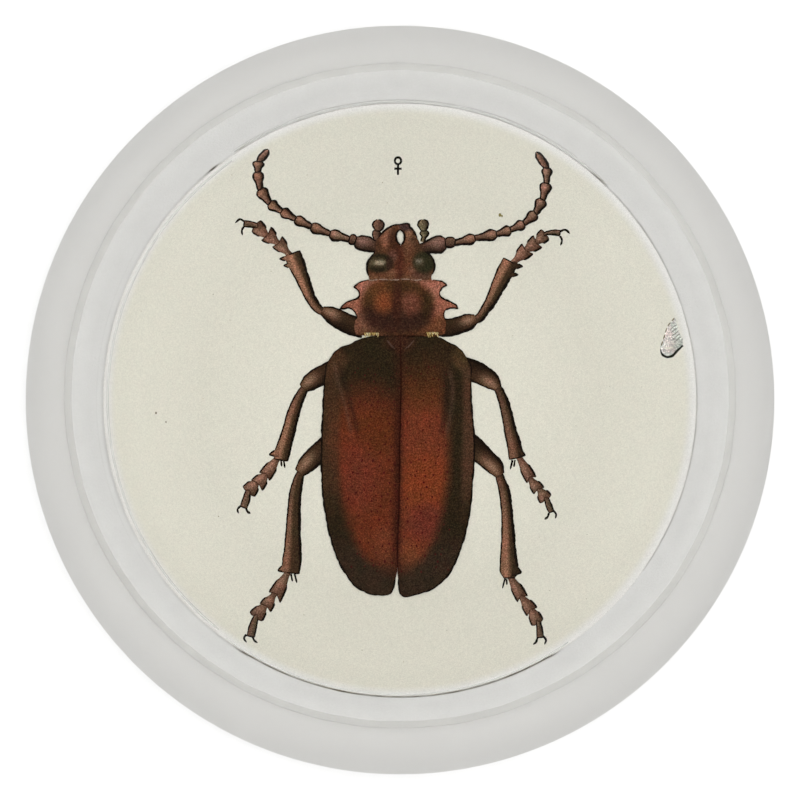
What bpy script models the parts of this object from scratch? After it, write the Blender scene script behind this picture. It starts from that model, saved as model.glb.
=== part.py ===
"""Domed crystal paperweight with a printed beetle picture.

A solid clear dome, polished all over and flat underneath, stands on a thin felt disc.
A round paper print lies between the two, face up, and is seen enlarged through the dome.

Frame: metres, +Z up. The origin is the centre of the felt's underside, on the dome's
axis, and +Y points to the top of the picture.
"""

import math

import bmesh
import bpy

# Driving dimensions of the dome
DOME_DIAMETER = 0.0825
CAP_SPHERE_RADIUS = 0.0463
SIDE_WALL_HEIGHT = 0.006
SHOULDER_ROUND = 0.0008
UNDERSIDE_CHAMFER = 0.0008

# Driving dimensions of what lies under it
FELT_DIAMETER = 0.0622
FELT_THICKNESS = 0.0012
FELT_EDGE_ROUND = 0.00025
PRINT_DIAMETER = 0.0550
PRINT_THICKNESS = 0.0002
LAYER_GAP = 0.0003

# How finely the turned pieces are cut
TURN_STEPS = 96
CAP_STEPS = 26
ROUND_STEPS = 3
FELT_STEPS = 72

# Heights that follow from the stack of felt, print and dome
PRINT_UNDERSIDE = FELT_THICKNESS + LAYER_GAP
PRINT_FACE = PRINT_UNDERSIDE + PRINT_THICKNESS
DOME_UNDERSIDE = PRINT_FACE + LAYER_GAP
SHOULDER_HEIGHT = DOME_UNDERSIDE + SIDE_WALL_HEIGHT

SEAM_MERGE = 1e-6
SMOOTH_ANGLE = math.radians(30)


def clear_scene():
    for thing in list(bpy.data.objects):
        bpy.data.objects.remove(thing)


def finish_of(name, colour, roughness, metallic=0.0, clearness=0.0):
    """A Principled material of one colour, clear if clearness is 1."""
    material = bpy.data.materials.new(name)
    material.use_nodes = True
    shader = material.node_tree.nodes["Principled BSDF"]
    shader.inputs["Base Color"].default_value = (*colour, 1.0)
    shader.inputs["Roughness"].default_value = roughness
    shader.inputs["Metallic"].default_value = metallic
    shader.inputs["Transmission Weight"].default_value = clearness
    shader.inputs["IOR"].default_value = 1.5
    return material


def arc(centre, radius, start, end, steps):
    """Points (r, z) on a circle from angle start to angle end, both ends included."""
    points = []
    for i in range(steps + 1):
        angle = start + (end - start) * i / steps
        points.append((centre[0] + radius * math.cos(angle), centre[1] + radius * math.sin(angle)))
    return points


def dome_outline():
    """Half outline of the dome, from its top down the side and in along the underside.

    The cap is part of a sphere. A small round, tangent to the sphere and to the upright
    wall, joins the two.
    """
    wall = DOME_DIAMETER / 2
    sphere_height = SHOULDER_HEIGHT - math.sqrt(CAP_SPHERE_RADIUS**2 - wall**2)
    round_centre_r = wall - SHOULDER_ROUND
    reach = CAP_SPHERE_RADIUS - SHOULDER_ROUND
    round_centre_z = sphere_height + math.sqrt(reach**2 - round_centre_r**2)
    tangent = math.acos(round_centre_r / reach)
    cap = arc((0.0, sphere_height), CAP_SPHERE_RADIUS, math.pi / 2, tangent, CAP_STEPS)
    shoulder = arc((round_centre_r, round_centre_z), SHOULDER_ROUND, tangent, 0.0, ROUND_STEPS)
    foot = [
        (wall, DOME_UNDERSIDE + UNDERSIDE_CHAMFER),
        (wall - UNDERSIDE_CHAMFER, DOME_UNDERSIDE),
        (0.0, DOME_UNDERSIDE),
    ]
    return [(0.0, cap[0][1])] + cap[1:] + shoulder[1:] + foot


def print_outline():
    """Half outline of the print: a thin disc with square cut edges."""
    radius = PRINT_DIAMETER / 2
    return [(0.0, PRINT_FACE), (radius, PRINT_FACE), (radius, PRINT_UNDERSIDE), (0.0, PRINT_UNDERSIDE)]


def felt_outline():
    """Half outline of the felt: a disc whose upper and lower edges are slightly rounded."""
    radius = FELT_DIAMETER / 2
    inner = radius - FELT_EDGE_ROUND
    upper = arc((inner, FELT_THICKNESS - FELT_EDGE_ROUND), FELT_EDGE_ROUND, math.pi / 2, 0.0, ROUND_STEPS)
    lower = arc((inner, FELT_EDGE_ROUND), FELT_EDGE_ROUND, 0.0, -math.pi / 2, ROUND_STEPS)
    return [(0.0, FELT_THICKNESS)] + upper + lower + [(0.0, 0.0)]


def turned(name, outline, steps, material):
    """A solid of revolution: the half outline spun once round the Z axis."""
    shape = bmesh.new()
    corners = [shape.verts.new((r, 0.0, z)) for r, z in outline]
    edges = [shape.edges.new(pair) for pair in zip(corners, corners[1:])]
    bmesh.ops.spin(
        shape,
        geom=corners + edges,
        axis=(0.0, 0.0, 1.0),
        cent=(0.0, 0.0, 0.0),
        angle=2 * math.pi,
        steps=steps,
    )
    bmesh.ops.remove_doubles(shape, verts=shape.verts, dist=SEAM_MERGE)
    bmesh.ops.recalc_face_normals(shape, faces=shape.faces)
    mesh = bpy.data.meshes.new(name)
    shape.to_mesh(mesh)
    shape.free()
    mesh.shade_smooth()
    mesh.set_sharp_from_angle(angle=SMOOTH_ANGLE)
    mesh.materials.append(material)
    solid = bpy.data.objects.new(name, mesh)
    bpy.context.scene.collection.objects.link(solid)
    return solid


def build():
    clear_scene()
    crystal = finish_of("clear_crystal", (1.0, 1.0, 1.0), 0.0, clearness=1.0)
    paper = finish_of("printed_paper", (0.72, 0.70, 0.62), 0.8)
    wool = finish_of("off_white_felt", (0.76, 0.76, 0.74), 0.95)
    turned("crystal_dome", dome_outline(), TURN_STEPS, crystal)
    turned("printed_disc", print_outline(), TURN_STEPS, paper)
    turned("felt_base", felt_outline(), FELT_STEPS, wool)


build()
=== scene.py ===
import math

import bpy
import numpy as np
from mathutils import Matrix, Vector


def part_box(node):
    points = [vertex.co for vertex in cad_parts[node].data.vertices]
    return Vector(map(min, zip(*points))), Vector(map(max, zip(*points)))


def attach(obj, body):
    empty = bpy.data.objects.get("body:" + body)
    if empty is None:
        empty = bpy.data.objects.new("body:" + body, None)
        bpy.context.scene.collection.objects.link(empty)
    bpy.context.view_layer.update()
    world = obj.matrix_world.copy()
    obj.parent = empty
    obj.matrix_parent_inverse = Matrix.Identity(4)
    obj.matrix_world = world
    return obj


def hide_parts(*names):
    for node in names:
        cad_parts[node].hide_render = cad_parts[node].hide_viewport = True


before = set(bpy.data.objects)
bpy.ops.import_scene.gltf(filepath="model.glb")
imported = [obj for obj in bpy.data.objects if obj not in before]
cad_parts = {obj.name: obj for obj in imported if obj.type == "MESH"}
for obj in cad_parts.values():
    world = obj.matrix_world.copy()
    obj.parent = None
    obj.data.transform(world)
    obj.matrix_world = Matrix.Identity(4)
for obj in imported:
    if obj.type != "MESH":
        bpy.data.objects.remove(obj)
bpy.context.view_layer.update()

# Domed crystal paperweight, seen from straight above.
# A hand-coloured print of a long-horned beetle lies under a clear dome, on a felt disc.
# Metres, +Z up, the dome's axis on Z, +Y to the top of the picture.


# Felt base
# A disc die-cut from pressed wool felt, glued under the dome by hand and so not quite
# centred. It closes over the paper and meets the glass all round it.

felt_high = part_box("felt_base")[1]
print_low, print_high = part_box("printed_disc")
dome_low, dome_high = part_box("crystal_dome")

MM = 0.001
BOND_PLANE = print_high.z  # the underside of the glass with its film of clear glue
FELT_RADIUS = felt_high.x - 0.33 * MM
FELT_OVAL = 0.2 * MM  # wider across than upright
FELT_OFFSET = 0.53 * MM  # to the top of the picture
PAPER_CUT_RADIUS = print_high.x - 0.328 * MM
FELT_EDGE_ROUND = 0.08 * MM
FELT_EDGE_WOBBLE = 0.09 * MM
FELT_DIMPLE = 0.035 * MM
BEDDED = 0.03 * MM  # felt and paper press this far into the glue, so that no air is left


def solid_of_turns(name, radius, height, shift=0.0):
    """A closed body of revolution, or nearly so.

    radius and height are arrays of rows by columns: a row goes once round the axis, and
    the rows run from the top of the axis over the outside to its foot. The first and the
    last row are the poles, so only one point of each is used. shift moves each row to +Y.
    """
    rows, columns = radius.shape
    turn = np.linspace(0, 2 * math.pi, columns, endpoint=False)
    shift = np.broadcast_to(shift, radius.shape)
    place = np.stack([radius * np.cos(turn), shift + radius * np.sin(turn), height], axis=-1)
    inner = place[1:-1].reshape(-1, 3)
    poles = np.array([[0.0, shift[end, 0], height[end, 0]] for end in (0, -1)])
    here = np.arange(columns)
    after = np.roll(here, -1)
    ring = columns * np.arange(rows - 3)[:, None]
    quads = np.stack([ring + here, ring + here + columns, ring + after + columns, ring + after], axis=-1)
    top = np.stack([np.full(columns, len(inner)), here, after], axis=-1)
    last = columns * (rows - 3)
    foot = np.stack([np.full(columns, len(inner) + 1), last + after, last + here], axis=-1)
    mesh = bpy.data.meshes.new(name)
    faces = quads.reshape(-1, 4).tolist() + top.tolist() + foot.tolist()
    mesh.from_pydata(np.concatenate([inner, poles]).tolist(), [], faces)
    mesh.update()
    mesh.shade_smooth()
    piece = bpy.data.objects.new(name, mesh)
    bpy.context.scene.collection.objects.link(piece)
    return piece


def waves(angle, orders, seed):
    """Smooth noise round a circle: cosines of the given orders, each with its own phase."""
    phase = np.random.default_rng(seed).uniform(0, 2 * math.pi, len(orders))
    return sum(np.cos(order * angle + p) for order, p in zip(orders, phase)) / len(orders)


def felt_shape():
    """Rows of (radius, height, shift): flat under the paper, a lip close round it up to the
    glass, a rounded edge, and a flat foot. The outer edge is off centre. It wavers, and the
    foot dimples, by a few hundredths of a millimetre, as cut felt does."""
    columns = 360
    lip = PAPER_CUT_RADIUS + 0.002 * MM
    under_paper, against_glass = print_low.z - 0.02 * MM, BOND_PLANE + BEDDED
    inner = FELT_RADIUS - FELT_EDGE_ROUND
    bend = np.linspace(0, math.pi / 2, 6)
    rows = [(0.0, under_paper)]
    rows += [(r, under_paper) for r in np.linspace(0.1, 1.0, 10) * lip]
    rows += [(r, against_glass) for r in np.linspace(lip + 0.001 * MM, inner, 12)]
    rows += [(inner + FELT_EDGE_ROUND * math.sin(a), against_glass - FELT_EDGE_ROUND * (1 - math.cos(a)))
             for a in bend[1:]]
    rows += [(inner + FELT_EDGE_ROUND * math.cos(a), FELT_EDGE_ROUND * (1 - math.sin(a))) for a in bend]
    rows += [(r, 0.0) for r in np.linspace(1.0, 0.0, 26)[1:] * inner]
    profile = np.array(rows)
    turn = np.linspace(0, 2 * math.pi, columns, endpoint=False)
    share = profile[:, :1] / FELT_RADIUS
    cut = FELT_OVAL * np.cos(2 * turn) + FELT_EDGE_WOBBLE * waves(turn, (3, 5, 9, 17, 31, 47), 3)
    radius = profile[:, :1] + cut * np.clip((profile[:, :1] - lip) / (inner - lip), 0, 1)
    row = np.arange(len(profile))[:, None]
    dimple = np.sin(7.1 * row + 23 * turn) * np.cos(3.7 * row - 41 * turn)
    foot = (profile[:, 1:] == 0.0) & (share < 0.97)
    height = profile[:, 1:] + np.where(foot, FELT_DIMPLE * np.abs(dimple) * share, 0.0)
    return radius, height, FELT_OFFSET * np.clip((profile[:, :1] - lip) / MM, 0, 1)


def new_material(name):
    """An empty node material with its Principled shader, its tree and its Object coordinates."""
    material = bpy.data.materials.new(name)
    material.use_nodes = True
    tree = material.node_tree
    place = tree.nodes.new("ShaderNodeTexCoord")
    return material, tree, tree.nodes["Principled BSDF"], place.outputs["Object"]


def noise(tree, place, scale, detail=2.0, roughness=0.5):
    """A noise texture's value; scale is in cells per metre."""
    texture = tree.nodes.new("ShaderNodeTexNoise")
    texture.inputs["Scale"].default_value = scale
    texture.inputs["Detail"].default_value = detail
    texture.inputs["Roughness"].default_value = roughness
    tree.links.new(place, texture.inputs["Vector"])
    return texture.outputs["Fac"]


def computed(tree, kind, operation, *inputs):
    """The outputs of a Math or VectorMath node. Of its inputs, in order, a socket is linked, a
    plain value is set and None is left alone."""
    node = tree.nodes.new("ShaderNode" + kind)
    node.operation = operation
    for given, socket in zip(inputs, node.inputs):
        if isinstance(given, bpy.types.NodeSocket):
            tree.links.new(given, socket)
        elif given is not None:
            socket.default_value = given
    return node.outputs


def stretched(tree, value, given, wanted=(0.0, 1.0), kind="LINEAR"):
    """A value whose range, given, is stretched to the wanted one and held there."""
    node = tree.nodes.new("ShaderNodeMapRange")
    node.interpolation_type = kind
    for name, (low, high) in (("From", given), ("To", wanted)):
        node.inputs[name + " Min"].default_value = low
        node.inputs[name + " Max"].default_value = high
    tree.links.new(value, node.inputs["Value"])
    return node.outputs["Result"]


def ramp(tree, value, stops):
    """A colour ramp; stops are (position, colour)."""
    node = tree.nodes.new("ShaderNodeValToRGB")
    tree.links.new(value, node.inputs["Fac"])
    elements = node.color_ramp.elements
    while len(elements) < len(stops):
        elements.new(0.5)
    for element, (position, colour) in zip(elements, stops):
        element.position = position
        element.color = (*colour, 1.0)
    return node.outputs["Color"]


def bump(tree, shader, height, strength, distance):
    """A Bump node between a height and the shader's normal; distance is in metres."""
    node = tree.nodes.new("ShaderNodeBump")
    node.inputs["Strength"].default_value = strength
    node.inputs["Distance"].default_value = distance
    tree.links.new(height, node.inputs["Height"])
    tree.links.new(node.outputs["Normal"], shader.inputs["Normal"])


def pressed_felt():
    """Off-white wool: matted fibres a tenth of a millimetre thick, in soft lighter and
    darker tufts, with no shine. The cut edge is looser and a little paler."""
    material, tree, shader, place = new_material("pressed_felt")
    fibres = noise(tree, place, 5200, 4.0, 0.7)
    tufts = noise(tree, place, 420, 3.0, 0.6)
    half = computed(tree, "Math", "MULTIPLY", tufts, 0.45)[0]
    both = computed(tree, "Math", "MULTIPLY_ADD", fibres, 0.55, half)[0]
    colour = ramp(tree, both, [
        (0.3, (0.74, 0.74, 0.73)),
        (0.5, (0.78, 0.78, 0.765)),
        (0.7, (0.82, 0.82, 0.81)),
    ])
    flat = computed(tree, "VectorMath", "MULTIPLY", place, (1.0, 1.0, 0.0))[0]
    away = computed(tree, "VectorMath", "DISTANCE", flat, (0.0, FELT_OFFSET, 0.0))["Value"]
    edge = FELT_RADIUS - 2.0 * MM, FELT_RADIUS - 0.5 * MM
    paler = stretched(tree, away, edge, (1.0, 1.07))
    colour = computed(tree, "VectorMath", "SCALE", colour, None, None, paler)[0]
    tree.links.new(colour, shader.inputs["Base Color"])
    shader.inputs["Roughness"].default_value = 1.0
    shader.inputs["Sheen Weight"].default_value = 0.25
    bump(tree, shader, both, 0.6, 0.12 * MM)
    return material


felt = solid_of_turns("felt_disc", *felt_shape())
felt.data.materials.append(pressed_felt())
felt.data.set_sharp_from_angle(angle=math.radians(40))
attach(felt, "root")
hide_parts("felt_base")


# Paper print
# A disc of thin paper, printed with a cream ground that stops just short of the cut edge. It
# is glued face up to the underside of the glass.

PHOTO_PIXELS_ACROSS_DOME = 749  # one square of the drawing grid is one pixel of the photograph
CAMERA_HEIGHT = 0.70
GLASS_IOR = 1.5
GROUND_EDGE_SEEN_ACROSS = 291.0
GROUND_EDGE_SEEN_UPRIGHT = 293.0
PAPER_FACE = BOND_PLANE + BEDDED
LIGHT_ON_PRINT = 0.905  # how bright the dome shows a perfectly white print
PAPER_THICKNESS = 0.2 * MM

DOME_RADIUS = dome_high.x
SHOULDER = dome_low.z + 6.0 * MM
CAP_SPHERE_RADIUS = 46.3 * MM
SQUARE = 2 * DOME_RADIUS / PHOTO_PIXELS_ACROSS_DOME


def cap_centre_height():
    """Height of the cap sphere's centre: the sphere meets the wall at the shoulder."""
    return SHOULDER - math.sqrt(CAP_SPHERE_RADIUS**2 - DOME_RADIUS**2)


def under_dome(x, y):
    """Where on the paper a point lies that is seen at (x, y), in squares of the drawing grid.

    A ray from the camera leans so that it would cross the shoulder's height at (x, y). It
    meets the cap's sphere, is bent by Snell's law and runs straight on to the paper.
    """
    seen = np.maximum(np.hypot(x, y), 1e-6)
    lean = seen * SQUARE / (CAMERA_HEIGHT - SHOULDER)
    centre = cap_centre_height()
    a = lean**2 + 1
    b = -2 * (lean**2 * CAMERA_HEIGHT + centre)
    c = (lean * CAMERA_HEIGHT) ** 2 + centre**2 - CAP_SPHERE_RADIUS**2
    height = (-b + np.sqrt(b**2 - 4 * a * c)) / (2 * a)
    radius = lean * (CAMERA_HEIGHT - height)
    normal_r, normal_z = radius / CAP_SPHERE_RADIUS, (height - centre) / CAP_SPHERE_RADIUS
    length = np.sqrt(a)
    ray_r, ray_z = lean / length, -1 / length
    facing = -(ray_r * normal_r + ray_z * normal_z)
    bend = facing / GLASS_IOR - np.sqrt(1 - (1 - facing**2) / GLASS_IOR**2)
    bent_r = ray_r / GLASS_IOR + bend * normal_r
    bent_z = ray_z / GLASS_IOR + bend * normal_z
    landing = radius + bent_r * (height - PAPER_FACE) / -bent_z
    return x * landing / seen, y * landing / seen


def linear(colour):
    """Screen colour, 0 to 255, to the linear light that a shader works with."""
    share = np.asarray(colour, float) / 255
    return np.where(share <= 0.04045, share / 12.92, ((share + 0.055) / 1.055) ** 2.4)


def grain_group():
    """A shader group for anything printed: fine grain and broad blotches on a colour.

    The colour is scaled by Grain to the power of (fine noise - 0.5), so Grain 1 is none,
    and then drawn towards the warm or the cool side of itself by a broad noise.
    """
    group = bpy.data.node_groups.new("print_grain", "ShaderNodeTree")
    socket = group.interface.new_socket
    socket("Color", in_out="INPUT", socket_type="NodeSocketColor")
    socket("Place", in_out="INPUT", socket_type="NodeSocketVector")
    socket("Grain", in_out="INPUT", socket_type="NodeSocketFloat")
    socket("Blotch", in_out="INPUT", socket_type="NodeSocketFloat")
    socket("Color", in_out="OUTPUT", socket_type="NodeSocketColor")
    given = group.nodes.new("NodeGroupInput").outputs
    result = group.nodes.new("NodeGroupOutput").inputs
    fine = noise(group, given["Place"], 9000, 1.0, 0.5)
    centred = computed(group, "Math", "SUBTRACT", fine, 0.5)[0]
    scale = computed(group, "Math", "POWER", given["Grain"], centred)[0]
    grainy = computed(group, "VectorMath", "SCALE", given["Color"], None, None, scale)[0]
    broad = noise(group, given["Place"], 800, 5.0, 0.75)
    side = ramp(group, broad, [
        (0.36, (0.84, 1.0, 0.94)),
        (0.5, (1.0, 1.0, 1.0)),
        (0.64, (1.16, 0.98, 1.0)),
    ])
    tinted = group.nodes.new("ShaderNodeMix")
    tinted.data_type = "RGBA"
    tinted.blend_type = "MULTIPLY"
    group.links.new(given["Blotch"], tinted.inputs["Factor"])
    group.links.new(grainy, tinted.inputs["A"])
    group.links.new(side, tinted.inputs["B"])
    group.links.new(tinted.outputs["Result"], result["Color"])
    return group


PRINT_GRAIN = grain_group()


def grained(tree, place, colour, grain, blotch):
    """The print grain group, placed in a material with its own amounts."""
    node = tree.nodes.new("ShaderNodeGroup")
    node.node_tree = PRINT_GRAIN
    tree.links.new(colour, node.inputs["Color"])
    tree.links.new(place, node.inputs["Place"])
    node.inputs["Grain"].default_value = grain
    node.inputs["Blotch"].default_value = blotch
    return node.outputs["Color"]


def cream_paper():
    """Old plate paper: a cream ground, a little browner at its foot and its top, in
    an ellipse that fades to the bare white margin, with fine grain all over."""
    material, tree, shader, place = new_material("cream_paper")
    across = float(under_dome(GROUND_EDGE_SEEN_ACROSS, 0.0)[0])
    upright = float(under_dome(GROUND_EDGE_SEEN_UPRIGHT, 0.0)[0])
    shares = computed(tree, "VectorMath", "MULTIPLY", place, (1 / across, 1 / upright, 0.0))[0]
    reach = computed(tree, "VectorMath", "LENGTH", shares)["Value"]
    middle = ramp(tree, reach, [
        (float(under_dome(seen, 0.0)[0]) / across, linear(colour) / LIGHT_ON_PRINT)
        for seen, colour in ((200, (217, 215, 202)), (265, (228, 226, 213)))
    ])
    parts = tree.nodes.new("ShaderNodeSeparateXYZ")
    tree.links.new(shares, parts.inputs[0])
    upward = stretched(tree, parts.outputs["Y"], (-1.0, 1.0))
    browning = ramp(tree, upward, [
        (0.1, (0.946, 0.942, 0.935)),
        (0.3, (1.0, 1.0, 1.0)),
        (0.75, (1.0, 1.0, 1.0)),
        (0.95, (0.955, 0.955, 0.953)),
    ])
    cream = computed(tree, "VectorMath", "MULTIPLY", middle, browning)[0]
    edge = stretched(tree, reach, (0.97, 1.01), kind="SMOOTHSTEP")
    ground = tree.nodes.new("ShaderNodeMix")
    ground.data_type = "RGBA"
    ground.inputs["B"].default_value = (*linear((223, 222, 218)) / LIGHT_ON_PRINT, 1.0)
    tree.links.new(edge, ground.inputs["Factor"])
    tree.links.new(cream, ground.inputs["A"])
    colour = grained(tree, place, ground.outputs["Result"], 1.4, 0.05)
    tree.links.new(colour, shader.inputs["Base Color"])
    shader.inputs["Roughness"].default_value = 0.9
    shader.inputs["Specular IOR Level"].default_value = 0.0
    return material


def paper_shape():
    """Rows of (radius, height): a flat face, a square cut edge and a flat back."""
    edge = PAPER_CUT_RADIUS
    back = PAPER_FACE - PAPER_THICKNESS
    face = [(r, PAPER_FACE) for r in np.linspace(0.0, edge, 12)]
    side = [(edge, PAPER_FACE - 0.005 * MM), (edge, back + 0.005 * MM)]
    rows = face + side + [(r, back) for r in np.linspace(edge, 0.0, 12)]
    profile = np.array(rows)
    columns = np.ones(256)
    return profile[:, :1] * columns, profile[:, 1:] * columns


paper = solid_of_turns("paper_disc", *paper_shape())
paper.data.materials.append(cream_paper())
paper.data.set_sharp_from_angle(angle=math.radians(30))
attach(paper, "root")
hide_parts("printed_disc")


# Printed figure, how its ink is laid down
# The plate is printed in black and then tinted by hand. Each tint and each line is a flat
# patch on the paper, a few thousandths of a millimetre over the one below, set out on a
# grid whose squares are those that the dome shows, with its centre on the dome's axis.

INK_STEP = 0.003 * MM  # between one layer of the print and the next
INK = (22, 17, 12)
WASH, LINE = 0, 1  # the two materials of a printed piece
hand = np.random.default_rng(1830)


def flowing(*arcs, steps=10):
    """A line through points, smooth inside each arc, with a corner where two arcs meet.

    Each span is a cubic from point to point, and its slope at a point is that of the
    parabola through the point and its two neighbours. An arc starts where the last ended.
    """
    t = np.linspace(0, 1, steps, endpoint=False)[None, :, None]
    pieces, start = [], []
    for arc in arcs:
        points = np.array(start + list(arc), float)
        run = np.hypot(*np.diff(points, axis=0).T)
        slope = np.gradient(points, np.append(0.0, np.cumsum(run)), axis=0)
        reach = run[:, None, None]
        a, b = points[:-1, None], points[1:, None]
        slope_a, slope_b = slope[:-1, None] * reach, slope[1:, None] * reach
        span = (a * (2 * t**3 - 3 * t**2 + 1) + slope_a * (t**3 - 2 * t**2 + t)
                + b * (3 * t**2 - 2 * t**3) + slope_b * (t**3 - t**2))
        pieces.append(span.reshape(-1, 2))
        start = [points[-1]]
    return np.vstack(pieces + [start[0][None]])


def evenly(line, count):
    """The same line with its points spaced evenly along it."""
    run = np.append(0.0, np.cumsum(np.hypot(*np.diff(line, axis=0).T)))
    at = np.linspace(0, run[-1], count)
    return np.stack([np.interp(at, run, line[:, 0]), np.interp(at, run, line[:, 1])], axis=-1)


def across(line):
    """Unit vectors a quarter turn to the left of the line's direction."""
    ahead = np.gradient(line, axis=0)
    ahead /= np.maximum(np.hypot(*ahead.T), 1e-9)[:, None]
    return np.stack([-ahead[:, 1], ahead[:, 0]], axis=-1)


def length_of(line):
    return float(np.hypot(*np.diff(line, axis=0).T).sum())


def easing(low, high, value):
    """0 below low, 1 above high and a smooth S between."""
    t = np.clip((value - low) / (high - low), 0, 1)
    return t * t * (3 - 2 * t)


def mixed(first, second, share):
    """Two colours mixed point by point; share 1 is all of the second."""
    share = np.asarray(share)[..., None]
    return np.asarray(first, float) * (1 - share) + np.asarray(second, float) * share


def wash(a, b, tint, layer, columns=9):
    """A patch of colour ruled from the points of line a to those of line b. tint(x, y, u, v)
    gives its colour, with u along the lines and v from a to b."""
    u = np.linspace(0, 1, len(a))[:, None] * np.ones(columns)
    v = np.linspace(0, 1, columns) * np.ones((len(a), 1))
    x = a[:, :1] * (1 - v) + b[:, :1] * v
    y = a[:, 1:] * (1 - v) + b[:, 1:] * v
    return x, y, tint(x, y, u, v) * np.ones((len(a), columns, 1)), layer, WASH


def wash_between(edge_a, edge_b, tint, layer, columns=9):
    """A wash between two lines, each point joined to the one as far along the other line."""
    count = int(max(length_of(edge_a), length_of(edge_b)) / 1.6) + 4
    return wash(evenly(edge_a, count), evenly(edge_b, count), tint, layer, columns)


def ink_line(line, width, layer, taper=(0.55, 0.55), colour=INK, tremble=0.16):
    """A pen line: a ribbon that thins to the taper's shares at its ends. Its width and its
    path tremble a little, by cosines of five wavelengths."""
    count = int(length_of(line) / 1.1) + 4
    line = evenly(line, count)
    along = np.linspace(0, length_of(line), count)
    wave = np.array([5.0, 8.0, 13.0, 21.0, 34.0])
    phase = hand.uniform(0, 2 * math.pi, (2, 5))
    shake = np.cos(along[:, None, None] * 2 * math.pi / wave + phase).mean(axis=-1)
    u = np.linspace(0, 1, count)
    thin_first = taper[0] + (1 - taper[0]) * easing(0, 0.2, u)
    thin_last = taper[1] + (1 - taper[1]) * easing(0, 0.2, 1 - u)
    ends = np.minimum(thin_first, thin_last)
    half = width / 2 * ends * (1 + 1.6 * tremble * shake[:, 0])
    side = across(line)
    middle = line + side * (tremble * shake[:, 1:])
    v = np.linspace(-1, 1, 3)
    x = middle[:, :1] + side[:, :1] * half[:, None] * v
    y = middle[:, 1:] + side[:, 1:] * half[:, None] * v
    return x, y, np.asarray(colour, float) * np.ones((count, 3, 1)), layer, LINE


def printed(name, patches):
    """Lays patches on the paper as one piece: bends them to where the dome shows them and
    joins their grids of quads. The seen colour is a point attribute, and its fourth value,
    where a patch has one, is how much of the patch shows."""
    places, colours, faces, slots = [], [], [], []
    first = 0
    for x, y, colour, layer, slot in patches:
        rows, columns = x.shape
        real_x, real_y = under_dome(x, y)
        height = np.full(x.shape, PAPER_FACE + layer * INK_STEP)
        places.append(np.stack([real_x, real_y, height], axis=-1).reshape(-1, 3))
        shows = colour[..., 3:] if colour.shape[-1] == 4 else np.ones((rows, columns, 1))
        seen = linear(np.clip(colour[..., :3], 0, 255)) / LIGHT_ON_PRINT
        colours.append(np.concatenate([seen, shows], axis=-1).reshape(-1, 4))
        corner = first + columns * np.arange(rows - 1)[:, None] + np.arange(columns - 1)
        quads = np.stack([corner, corner + 1, corner + columns + 1, corner + columns], axis=-1).reshape(-1, 4)
        points = places[-1][quads - first]
        side = points[:, 2] - points[:, 0], points[:, 3] - points[:, 1]
        facing_down = side[0][:, 0] * side[1][:, 1] - side[0][:, 1] * side[1][:, 0] < 0
        faces.append(np.where(facing_down[:, None], quads[:, ::-1], quads))
        slots.append(np.full(len(quads), slot))
        first += rows * columns
    mesh = bpy.data.meshes.new(name)
    mesh.from_pydata(np.concatenate(places).tolist(), [], np.concatenate(faces).tolist())
    tint = mesh.attributes.new("tint", "FLOAT_COLOR", "POINT")
    tint.data.foreach_set("color", np.concatenate(colours).ravel())
    mesh.materials.append(HAND_COLOUR)
    mesh.materials.append(PRINTING_INK)
    mesh.polygons.foreach_set("material_index", np.concatenate(slots).astype(np.int32))
    mesh.update()
    piece = bpy.data.objects.new(name, mesh)
    bpy.context.scene.collection.objects.link(piece)
    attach(piece, "root")
    return piece


def tinted_material(name, grain, blotch, roughness, film=False):
    """The colour that a patch was given, with the print's grain on it. A film also lets
    what lies under it show, as its fourth value says."""
    material, tree, shader, place = new_material(name)
    tint = tree.nodes.new("ShaderNodeAttribute")
    tint.attribute_name = "tint"
    colour = grained(tree, place, tint.outputs["Color"], grain, blotch)
    tree.links.new(colour, shader.inputs["Base Color"])
    shader.inputs["Roughness"].default_value = roughness
    shader.inputs["Specular IOR Level"].default_value = 0.0
    if film:
        tree.links.new(tint.outputs["Alpha"], shader.inputs["Alpha"])
    return material


HAND_COLOUR = tinted_material("hand_colour", 18.0, 0.75, 0.85)
PRINTING_INK = tinted_material("printing_ink", 6.0, 0.0, 0.7)


# Jointed limbs of the figure
# Antennae, palps and legs are drawn joint by joint from the claws to the body, each joint a
# tinted patch between two pen lines, the line on the shaded side being the heavier one.

LIGHT_FROM = np.array([-0.9, 0.45])  # the engraver's light, from the upper left
LEG_BROWN = np.array((140, 100, 78))  # the legs' wash; a leg's own "wash" scales it
LEG_SHADE = np.array((57, 43, 29))
THIGH_BROWN = np.array((66, 46, 30))
KNEE_LIGHT = (0.8, 0.85, (148, 112, 92))
LEG_LAYER = 1


def spindle(stations):
    """The two edges of a joint. stations are (x, y, half width), joined by a smooth path
    and a smooth width."""
    station = np.array(stations, float)
    path = flowing(list(station[:, :2]))
    width = flowing(list(np.column_stack([np.linspace(0, 1, len(station)), station[:, 2]])))[:, 1:]
    side = across(path)
    return path + side * width, path - side * width


def along(colours, u):
    """Colours spread evenly from u = 0 to u = 1, mixed in between; one colour stays as it is."""
    colours = np.atleast_2d(np.asarray(colours, float))
    at = np.linspace(0, 1, len(colours))
    return np.stack([np.interp(u, at, channel) for channel in colours.T], axis=-1)


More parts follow.
